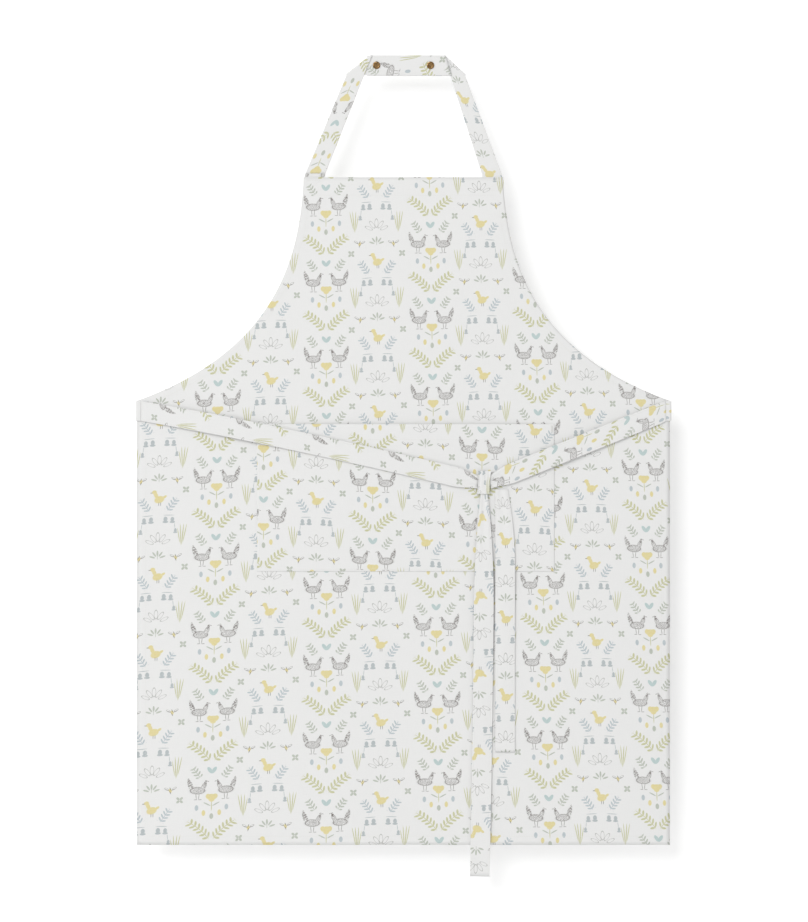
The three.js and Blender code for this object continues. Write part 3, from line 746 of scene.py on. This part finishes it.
def stitchShape():  # one stitch along x, its top facing the viewer along -y
    bpy.ops.mesh.primitive_uv_sphere_add(segments=6, ring_count=4, radius=0.5)
    bead = bpy.context.active_object
    bpy.ops.object.mode_set(mode="EDIT")
    bpy.ops.mesh.select_all(action="SELECT")
    bpy.ops.transform.rotate(value=math.pi / 2, orient_axis="Y", center_override=(0, 0, 0))
    bpy.ops.transform.resize(value=(stitch["length"], stitch["height"], stitch["width"]))
    bpy.ops.object.mode_set(mode="OBJECT")
    points = np.array([v.co for v in bead.data.vertices])
    faces = [list(p.vertices) for p in bead.data.polygons]
    bpy.data.objects.remove(bead)
    dip = stitch["dip"] * stitch["height"]  # its ends dip into the cloth
    points[:, 1] += dip * (2 * points[:, 0] / stitch["length"]) ** 2
    return points, faces


stitchPoints, stitchFaces = stitchShape()


def valuesAt(values, gone, at):  # the values at each distance along a line
    return np.stack([np.interp(at, gone, values[:, i]) for i in range(3)], axis=1)


def sewn(name, lines):
    # lines: list of (points along the seam, outward direction), the stitches laid end to end
    points, faces = [], []
    start = 0
    for line, outward in lines:
        line = np.asarray(line, float)
        gone = np.concatenate([[0], np.cumsum(np.linalg.norm(np.diff(line, axis=0), axis=1))])
        count = max(1, int(gone[-1] / stitch["pitch"]))
        at = (np.arange(count) + 0.5) * gone[-1] / count
        middle, ahead, behind = (valuesAt(line, gone, at + step) for step in (0, 0.4, -0.4))
        facing = valuesAt(np.broadcast_to(np.asarray(outward, float), line.shape), gone, at)
        for m, d, face in zip(middle, ahead - behind, facing):
            d = d / np.linalg.norm(d)
            side = np.cross(d, face)
            side = side / np.linalg.norm(side)
            out = np.cross(side, d)
            points.append(m + stitchPoints @ np.stack([d, -out, side]))
            faces += [[start + k for k in f] for f in stitchFaces]
            start += len(stitchPoints)
    noPrint = np.zeros((sum(map(len, faces)), 2))
    piece = finishMesh(name, np.concatenate(points), faces, noPrint, [threadFinish])
    turnFacesOut(piece)
    return piece


def onPanel(line, level):
    return np.stack([line[:, 0], level + drape(line[:, 0], line[:, 1]), line[:, 1]], axis=1)


frontStitch = panelFront - 0.02
backStitch = {kind: level + 0.32 for kind, level in hemLevels.items()}


def between(line, axis, low, high):
    return line[(line[:, axis] >= low) & (line[:, axis] <= high)]


sideSeam, bottomSeam, bibSeam, armholeSeam = 11.5, 11.5, 23.5, 8.5  # from the edge to the hem's seam
seamX, seamEnd = halfApron - sideSeam, 12.5  # seams stop this far from the corners
bottomZ, bibZ, bibX = hemBottom + bottomSeam, bibTop - bibSeam, halfBib - 8.3
sideEnds = (hemBottom + seamEnd, sideTop - 5.6)


def armholeLine(edge):
    return between(edge + squareTo(edge) * armholeSeam, 1, sideTop - 8, bibZ - 1)


seams = {  # each seam's node, its line and the hem it holds
    "bottomHemStitches": (
        "bottom_hem_seam",
        evenly((-halfApron + seamEnd, bottomZ), (halfApron - seamEnd, bottomZ)),
        "double",
    ),
    "rightSideStitches": ("right_side_seam", evenly((seamX, sideEnds[0]), (seamX, sideEnds[1])), "single"),
    "leftSideStitches": ("left_side_seam", evenly((-seamX, sideEnds[1]), (-seamX, sideEnds[0])), "single"),
    "bibTopStitches": ("bib_top_seam", evenly((bibX, bibZ), (-bibX, bibZ)), "double"),
    "rightArmholeStitches": ("right_armhole_seam", armholeLine(edges["rightArmhole"]), "single"),
    "leftArmholeStitches": ("left_armhole_seam", armholeLine(edges["leftArmhole"]), "single"),
}
front, back = (0, -1, 0), (0, 1, 0)
for name, (node, line, kind) in seams.items():
    line = between(line, 0, -seamX - 0.1, seamX + 0.1)
    piece = sewn(name, [(onPanel(line, frontStitch), front), (onPanel(line, backStitch[kind]), back)])
    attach(piece, "apron")
    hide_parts(node)


def onPocket(line):
    y = pocketLevel(line[:, 0], line[:, 1]) - pocketCloth["thickness"] / 2 - 0.04
    return np.stack([line[:, 0], y, line[:, 1]], axis=1)


seamInset, mouthSeam, mouth = 3, pocketHigh[2] - pocketCloth["mouthHem"], pocketHigh[2]
left, right, bottom = pocketLow[0] + seamInset, pocketHigh[0] - seamInset, pocketLow[2] + seamInset
corners = [(left, mouth - 1), (left, bottom), (right, bottom), (right, mouth - 1)]
sides = [evenly(*ends) for ends in zip(corners, corners[1:])]
mouthLine = evenly((pocketLow[0] + 1, mouthSeam), (pocketHigh[0] - 1, mouthSeam))
pocketStitches = sewn("pocketStitches", [(onPocket(line), front) for line in sides])
mouthStitches = sewn("pocketMouthStitches", [(onPocket(mouthLine), front)])
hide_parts("pocket_seam")
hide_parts("pocket_mouth_seam")
tack = {"bars": 16, "pitch": 0.5, "halfWidth": 1.3, "slant": 0.2, "below": 2, "proud": 0.1}
tacks = {
    "pocketLeftBarTack": (left, "pocket_left_bar_tack"),
    "pocketRightBarTack": (right, "pocket_right_bar_tack"),
}
for name, (x, node) in tacks.items():
    bars = []
    for z in mouth - tack["below"] - tack["pitch"] * np.arange(tack["bars"]):
        bar = evenly((x - tack["halfWidth"], z), (x + tack["halfWidth"], z - tack["slant"]))
        bars.append((onPocket(bar) - [0, tack["proud"], 0], front))
    piece = sewn(name, bars)
    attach(piece, "apron")
    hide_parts(node)
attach(pocketStitches, "apron")
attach(mouthStitches, "apron")


def boxLines(node, level, outward, inset=0.3):
    low, high = boxOf(node)
    left, right, bottom, top = low[0] + inset, high[0] - inset, low[2] + inset, high[2] - inset
    corners = [(left, bottom), (right, bottom), (right, top), (left, top), (left, bottom), (right, top)]
    pairs = zip(corners, corners[1:])
    return [(onPanel(evenly(*pair, step=2), level), outward) for pair in pairs]


boxBack = -3.36  # the box stitches' level on the back of the sewn ends
for side in ("left", "right"):
    for kind in ("strap", "tie"):
        node = f"{side}_{kind}_box_stitch"
        lines = boxLines(node, frontStitch, front) + boxLines(node, boxBack, back)
        piece = sewn(f"{side}{kind.title()}BoxStitch", lines)
        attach(piece, "apron")
        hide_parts(node)
print("stitches made")

strap = {
    "width": 26.6,
    "solid": 1.5,  # thickness of the strap's solid, and of the cloth within it
    "thickness": 1.4,
    "hinge": -131.5,
    "leftCorner": 78.0,  # how far out each leg's outer edge meets the mitre
    "rightCorner": 84.0,
    "leftMitreRun": 34.0,
    "rightMitreRun": 28.5,
    "leftEndLean": 4.0,
    "leftPrint": (20.0, -120.0),
    "leftSewnPrint": (20.0, -90.0),
    "rightPrint": (-48.0, 40.0),
    "levels": {"frontLeg": -6.3, "frontTop": -4.2, "rearLeg": -2.1, "rearTop": 0.0},
}
frontTop = boxOf("left_strap_sewn_end")  # the sewn ends share their level with the front strap's top stretch
sewnLevel = (frontTop[0][1] + frontTop[1][1]) / 2


def strapRows(side, cornerReach, run, end, endLean, legLevel, topLevel, bottomZ):
    # rows of inner edge, outer edge, level and facing, up the leg, over the mitre's fold and along the top
    mitre = math.atan2(strap["width"], run)
    radius = (topLevel - legLevel) / 2
    outward = np.array([math.sin(mitre), math.cos(mitre)])
    pullIn = (radius + strap["solid"] / 2) / outward  # keeps the rounded fold inside the mitre's line
    corner = np.array([cornerReach - pullIn[0], 0.0])
    peak = np.array([cornerReach - run - pullIn[0], strap["width"]])
    outerBottom = halfBib + (cornerReach - halfBib) * (bottomZ - bibTop) / -bibTop
    innerShare = (bottomZ - bibTop) / (strap["width"] - bibTop)
    innerBottom = halfBib - strap["width"] + (cornerReach - run - halfBib + strap["width"]) * innerShare
    rows = []
    for t in np.linspace(0, 1, 44):
        inner = np.array([innerBottom, bottomZ]) * (1 - t) + peak * t
        outer = np.array([outerBottom, bottomZ]) * (1 - t) + corner * t
        level = sewnLevel + (legLevel - sewnLevel) * t
        rows.append((inner, outer, level, (0, -1, 0)))
    for a in np.linspace(0, math.pi, 9)[1:-1]:
        push = outward * abs(radius) * math.sin(a)
        level = legLevel + radius - radius * math.cos(a)
        facing = np.array([outward[0] * math.sin(a) * side, -math.cos(a), outward[1] * math.sin(a)])
        rows.append((peak + push, corner + push, level, facing))
    for t in np.linspace(0, 1, 30):
        inner = peak * (1 - t) + np.array([side * (end - endLean), strap["width"]]) * t
        outer = corner * (1 - t) + np.array([side * (end + endLean), 0.0]) * t
        rows.append((inner, outer, topLevel, (0, 1, 0)))
    return rows


def strapPiece(name, side, rows, printAt, upward):
    inner = np.array([[side * r[0][0], r[2], r[0][1]] for r in rows])
    outer = np.array([[side * r[1][0], r[2], r[1][1]] for r in rows])
    facing = np.array([r[3] for r in rows], float)
    sizes = (strap["thickness"], strap["width"])
    return ribbonFrom(name, inner, outer, facing, *sizes, printAt, upward, [cottonFace])


legBottom = strap["hinge"] + 2.5
levels = strap["levels"]
leftEnd = boxOf("left_neck_strap")[1][0] - strap["leftEndLean"]
rightEnd = boxOf("right_neck_strap")[0][0]
leftTurn = (strap["leftCorner"], strap["leftMitreRun"], leftEnd, strap["leftEndLean"])
rightTurn = (strap["rightCorner"], strap["rightMitreRun"], rightEnd, 0.0)
leftRows = strapRows(-1, *leftTurn, levels["frontLeg"], levels["frontTop"], legBottom)
rightRows = strapRows(1, *rightTurn, levels["rearLeg"], levels["rearTop"], legBottom)


def smooth(share):
    return share * share * (3 - 2 * share)


def sewnRows(topRow):  # the strap's end on the back of the bib, eased into the leg above it
    rows = []
    bottomZ = frontTop[0][2]
    for t in np.linspace(0, 1, 16):
        z = bottomZ + (legBottom - bottomZ) * t
        settle = smooth(np.clip((z - (bibTop - 4)) / (legBottom - bibTop + 4), 0, 1))
        inner = np.array([halfBib - strap["width"], z]) * (1 - settle) + np.array([topRow[0][0], z]) * settle
        outer = np.array([halfBib, z]) * (1 - settle) + np.array([topRow[1][0], z]) * settle
        rows.append((inner, outer, sewnLevel, (0, -1, 0)))
    return rows


def carry(piece, *bodies, start=None, end=None):  # sews the piece's topstitching; both go on the bodies, or, given a start, are only baked in place
    stitches = sewn(piece.name + "Topstitch", topstitches[piece.name])
    for thing in (piece, stitches):
        if start is None:
            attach(thing, *bodies)
        else:
            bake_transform(thing)
    return [stitches]


leftNeckStrap = strapPiece("leftNeckStrap", -1, leftRows, strap["leftPrint"], -1)
leftStrapSewn = strapPiece("leftStrapSewnEnd", -1, sewnRows(leftRows[0]), strap["leftSewnPrint"], -1)
rightWhole = sewnRows(rightRows[0])[:-1] + rightRows
rightNeckStrap = strapPiece("rightNeckStrap", 1, rightWhole, strap["rightPrint"], 1)
leftLegStitches = carry(
    leftNeckStrap, "rear_strap", "front_strap", start=(0, -0.0042, -0.1285), end=(0, -0.0042, -0.118)
)
leftSewnStitches = carry(
    leftStrapSewn, "rear_strap", "apron", start=(0, -0.0042, -0.1295), end=(0, -0.0042, -0.136)
)
rightLegStitches = carry(
    rightNeckStrap, "rear_strap", "apron", start=(0, -0.0042, -0.127), end=(0, -0.0042, -0.136)
)
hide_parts("left_neck_strap")
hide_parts("left_strap_sewn_end")
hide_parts("right_neck_strap", "right_strap_sewn_end")
print("neck straps made")

tie = {
    "width": 26.0,
    "thickness": 0.95,
    "solid": 1.5,
    "gathered": 17.0,  # width where a band enters the knot
    "gatherLength": 34.0,
    "wrapRadius": 2.3,
    "bandStart": 5.2,  # from the apron's side
    "settle": 60,  # length over which a tail settles under the pocket
    "wrapPrint": (12.0, 30.0),
    "bandPrint": (12.0, 60.0),
    "knotPrint": (-32.0, 8.0),
}
tieTop = sideTop
tieMiddle = tieTop - tie["width"] / 2
knotLow, knotHigh = boxOf("tie_knot")
knotX, knotZ = (knotLow[0] + knotHigh[0]) / 2, (knotLow[2] + knotHigh[2]) / 2
nearer = 2.5  # the knotted ties settle this much nearer the skirt than their solids
tieBack, bandBack = -8.15, -14.25 + nearer  # backs of the sewn ends and of the bands
halfTie = tie["solid"] / 2


def sided(printAt, side):
    return printAt[0] * side, printAt[1]


def tieRibbon(name, left, right, facing, printAt, upward=1, pleats=None, thickness=tie["thickness"]):
    return ribbonFrom(
        name, left, right, facing, thickness, tie["width"], printAt, upward, [cottonFace], pleats
    )


def wrapPiece(side):  # a tie's end, sewn behind the side hem and turned round it to the front
    radius = tie["wrapRadius"]
    back, front = sewnLevel, tieBack - halfTie
    centre = (back + front) / 2
    low, high = boxOf("right_tie_sewn_end")
    outer = high[0] - halfTie - radius
    path = [(x, back, 0, 1) for x in np.linspace(low[0], outer, 8)]  # x, y and the way it faces
    for a in np.linspace(0, math.pi, 13)[1:-1]:
        sine, cosine = math.sin(a), math.cos(a)
        path.append((outer + radius * sine, centre + (back - centre) * cosine, sine, cosine))
    path += [(x, front, 0, -1) for x in np.linspace(outer, halfApron - tie["bandStart"], 4)]
    x, y, faceX, faceY = np.array(path, float).T
    x, faceX = side * x, side * faceX
    bottom = tieTop - tie["width"]
    y = y + drape(x, bottom)
    lower = np.stack([x, y, np.full(len(x), bottom)], axis=1)
    upper = np.stack([x, y, np.full(len(x), tieTop)], axis=1)
    facing = np.stack([faceX, faceY, np.zeros(len(x))], axis=1)
    name = "leftTieSewnEnd" if side < 0 else "rightTieSewnEnd"
    return tieRibbon(name, lower, upper, facing, sided(tie["wrapPrint"], side))


def bandPiece(side):
    start = np.array([side * (halfApron - tie["bandStart"]), tieMiddle])
    end = np.array([knotLow[0] + 3 if side < 0 else knotHigh[0] - 3, knotZ])
    middle = start * 0.6 + end * 0.4
    middle[1] += 7.5 if side < 0 else 0
    t = np.linspace(0, 1, 90)[:, None]
    line = (1 - t) ** 2 * start + 2 * (1 - t) * t * middle + t**2 * end
    gone = np.concatenate([[0], np.cumsum(np.linalg.norm(np.diff(line, axis=0), axis=1))])
    gathered = smooth(np.clip(1 - (gone[-1] - gone) / tie["gatherLength"], 0, 1))
    width = tie["width"] + (tie["gathered"] - tie["width"]) * gathered
    across = squareTo(line) * -side
    squared = np.clip(gone / 12, 0, 1)[:, None]
    across = across * squared + np.array([0, 1.0]) * (1 - squared)
    across /= np.linalg.norm(across, axis=1)[:, None]
    crest = pocketMiddle - pocketHalf / 2 if side < 0 else end[0]
    reach = np.clip((line[:, 0] - start[0]) / (crest - start[0]), 0, 1)
    level = tieBack - halfTie + (bandBack - tieBack) * np.sin(reach * math.pi / 2)
    level = level + drape(line[:, 0], line[:, 1])
    low, high = line - across * width[:, None] / 2, line + across * width[:, None] / 2
    lower = np.stack([low[:, 0], level, low[:, 1]], axis=1)
    upper = np.stack([high[:, 0], level, high[:, 1]], axis=1)
    facing = np.broadcast_to(np.array([0, -1.0, 0]), lower.shape)
    total = gone[-1]

    def pleats(share, c):
        near = np.clip(1 - (1 - share) * total / 42, 0, 1) ** 1.5
        bow = 0.35 * np.sin(share * 9 + side) * (1 - (2 * c - 1) ** 2)
        return near * 0.9 * np.sin(c * math.pi * 5 + 0.6) + bow * np.clip(share * 6, 0, 1) * (1 - near)

    name = "leftTieBand" if side < 0 else "rightTieBand"
    return tieRibbon(name, lower, upper, facing, sided(tie["bandPrint"], side), pleats=pleats)


def knotPiece():
    tall, deep = (knotHigh[2] - knotLow[2]) / 2 - 0.7, (knotHigh[1] - knotLow[1]) / 2 - 0.35
    centreY = (knotHigh[1] + knotLow[1]) / 2 + nearer
    angle = np.linspace(-0.2, 2 * math.pi - 0.35, 60) - math.pi / 2

    def power(value, by):
        return np.sign(value) * np.abs(value) ** by

    z = knotZ + tall * power(np.sin(angle), 0.75)
    y = centreY - deep * power(np.cos(angle), 0.6) + drape(knotX, knotZ)
    lean = 1.28 * np.sin(angle)
    wide = 8.6 - 0.65 * np.cos(2 * angle)
    left = np.stack([knotX - wide + lean, y, z], axis=1)
    right = np.stack([knotX + wide * 0.9 + lean, y, z], axis=1)
    along = np.gradient(np.stack([y, z], axis=1), axis=0)
    along /= np.linalg.norm(along, axis=1)[:, None]
    facing = np.stack([np.zeros(len(y)), -along[:, 1], along[:, 0]], axis=1)

    def pleats(share, c):
        return 0.42 * np.sin(c * math.pi * 6 + 2.2 * share + 0.8)

    return tieRibbon("tieKnot", left, right, facing, tie["knotPrint"], pleats=pleats, thickness=1.1)


tails = {
    "long": {
        "narrow": 10,  # width as it leaves the knot, opening over the spread
        "spread": 150,
        "backAt": -14.25,
        "lean": 2.9,  # how much nearer the skirt it hangs after half a metre
        "settle": 1.6,  # and how much nearer still between the pocket and the hem
        "aside": 6,
        "printAt": (-46.0, 35.0),
        "upward": 1,
    },
    "short": {
        "narrow": 17,
        "spread": 100,
        "backAt": -12.75,
        "lean": 1.8,
        "settle": 0.9,
        "printAt": (88.0, -20.0),
        "upward": -1,
    },
}


def tailPiece(name, node, tail):
    low, high = boxOf(node)
    tucked, spread = 3.0, tail["spread"]  # its top is tucked into the knot
    top, length = high[2] + tucked, high[2] - low[2] + tucked
    fallen = np.concatenate([np.linspace(0, spread, 40), np.linspace(spread, length, 60)[1:]])
    real = np.maximum(fallen - tucked, 0)
    share = np.clip(real / spread, 0, 1)
    width = tail["narrow"] + (tie["width"] - tail["narrow"]) * share * (2 - share)
    if "aside" in tail:
        x = knotX - tail["aside"] * (real / 500) ** 2
    else:
        x = low[0] + width / 2
    z = top - fallen
    below = np.clip((pocketLow[2] - z) / tie["settle"], 0, 1)
    below = below * np.clip((z - hemBottom - 15) / 150, 0, 1)
    level = tail["backAt"] + nearer - 0.6 + tail["lean"] * real / 500
    level = level + drape(x, z) + tail["settle"] * smooth(below)
    left = np.stack([x - width / 2, level, z], axis=1)
    right = np.stack([x + width / 2, level, z], axis=1)
    facing = np.broadcast_to(np.array([0, -1.0, 0]), left.shape)
    lengthways = fallen[:, None]

    def pleats(share, c):
        tight = np.clip(1 - lengthways / spread, 0, 1) ** 1.3
        tilt = 0.5 * np.sin(lengthways / 71 + 1.1) * (2 * c - 1)
        bow = 0.5 * np.sin(lengthways / 117) * (1 - (2 * c - 1) ** 2)
        return tight * 0.55 * np.sin(c * math.pi * 3.0 + 0.5) + (tilt + bow) * (1 - tight)

    return tieRibbon(name, left, right, facing, tail["printAt"], tail["upward"], pleats)


longTail = tailPiece("longTieTail", "long_tie_tail", tails["long"])
shortTail = tailPiece("shortTieTail", "short_tie_tail", tails["short"])
leftSewn, rightSewn = wrapPiece(-1), wrapPiece(1)
leftBand, rightBand = bandPiece(-1), bandPiece(1)
tieKnot = knotPiece()
for piece, node in ((leftSewn, "left_tie_sewn_end"), (rightSewn, "right_tie_sewn_end")):
    wrapStitches = carry(piece, "apron")
    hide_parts(node)
leftBandStitches = carry(leftBand, "apron", "waist_ties", start=(-0.346, 0, -0.44), end=(-0.318, 0, -0.44))
rightBandStitches = carry(rightBand, "apron", "waist_ties", start=(0.346, 0, -0.44), end=(0.318, 0, -0.44))
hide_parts("left_tie_band")
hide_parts("right_tie_band")
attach(tieKnot, "waist_ties")
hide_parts("tie_knot")
longTailStitches = carry(
    longTail, "waist_ties", "long_tail", start=(0.106, -0.015, -0.549), end=(0.106, -0.015, -0.562)
)
shortTailStitches = carry(
    shortTail, "waist_ties", "short_tail", start=(0.13, -0.0132, -0.544), end=(0.13, -0.0132, -0.558)
)
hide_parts("long_tie_tail")
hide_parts("short_tie_tail")
print("waist ties made")

# the snaps keep their own shape and take the brass
for side in ("left", "right"):
    for part in ("snap_cap", "snap_socket", "snap_stud", "snap_back_ring"):
        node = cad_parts[f"{side}_{part}"]
        node.data.materials.clear()
        node.data.materials.append(brassFinish)

stage = {
    "wallGap": 40,  # millimetres behind the apron
    "wallColour": (0.95, 0.95, 0.95, 1),
    "wallGlow": 0.22,
    "floorColour": (0.9, 0.9, 0.9, 1),
    "floorHeight": -1.35,
    "worldLight": 0.61,
    "keyPower": 180.0,
    "keySize": 3.6,
    "keyAt": (-2.7, -5.4, 2.6),
    "keyAim": (0, 0, -0.5),
    "cameraAt": (0.0007, -4.0, -0.5067),
    "lens": 118.7,
}


def plainMaterial(name, colour, glow, oneSided):
    material, n, surface = newMaterial(name)
    surface.inputs["Base Color"].default_value = colour
    surface.inputs["Roughness"].default_value = 0.9
    surface.inputs["Specular IOR Level"].default_value = 0.0
    surface.inputs["Emission Color"].default_value = (1, 1, 1, 1)
    surface.inputs["Emission Strength"].default_value = glow
    if oneSided:
        clear = n.put("BsdfTransparent")
        behind = n.put("NewGeometry").outputs["Backfacing"]
        mix = n.put("MixShader", {0: behind, 1: surface.outputs[0], 2: clear.outputs[0]})
        n.tree.links.new(mix.outputs[0], material.node_tree.nodes["Material Output"].inputs[0])
    return material


bpy.ops.object.select_all(action="DESELECT")
upright = (math.pi / 2, 0, 0)
wallAt = (0, stage["wallGap"] / 1000, -0.2)
bpy.ops.mesh.primitive_plane_add(size=3.4, location=wallAt, rotation=upright)
wall = bpy.context.active_object
wall.name = "studioWall"
wall.data.materials.append(plainMaterial("wallPaint", stage["wallColour"], stage["wallGlow"], True))
bpy.ops.mesh.primitive_plane_add(size=6, location=(0, -1.0, stage["floorHeight"]))
floor = bpy.context.active_object
floor.name = "studioFloor"
floor.data.materials.append(plainMaterial("floorPaint", stage["floorColour"], 0.0, False))

world = bpy.data.worlds.new("studioWorld")
bpy.context.scene.world = world
world.use_nodes = True
world.node_tree.nodes["Background"].inputs[0].default_value = (1, 1, 1, 1)
world.node_tree.nodes["Background"].inputs[1].default_value = stage["worldLight"]

bpy.ops.object.light_add(type="AREA", location=stage["keyAt"])
key = bpy.context.active_object
key.data.size = stage["keySize"]
key.data.energy = stage["keyPower"]
aim = np.array(stage["keyAim"]) - np.array(stage["keyAt"])
dip, swing = math.atan2(math.hypot(aim[0], aim[1]), -aim[2]), math.atan2(-aim[0], aim[1])
key.rotation_euler = (dip, 0, swing)

bpy.ops.object.camera_add(location=stage["cameraAt"], rotation=upright)
camera = bpy.context.active_object
camera.data.sensor_fit = "VERTICAL"
camera.data.sensor_height = 36.0
camera.data.lens = stage["lens"]
bpy.context.scene.camera = camera
bpy.context.scene.view_settings.view_transform = "Standard"
print("stage and camera set")
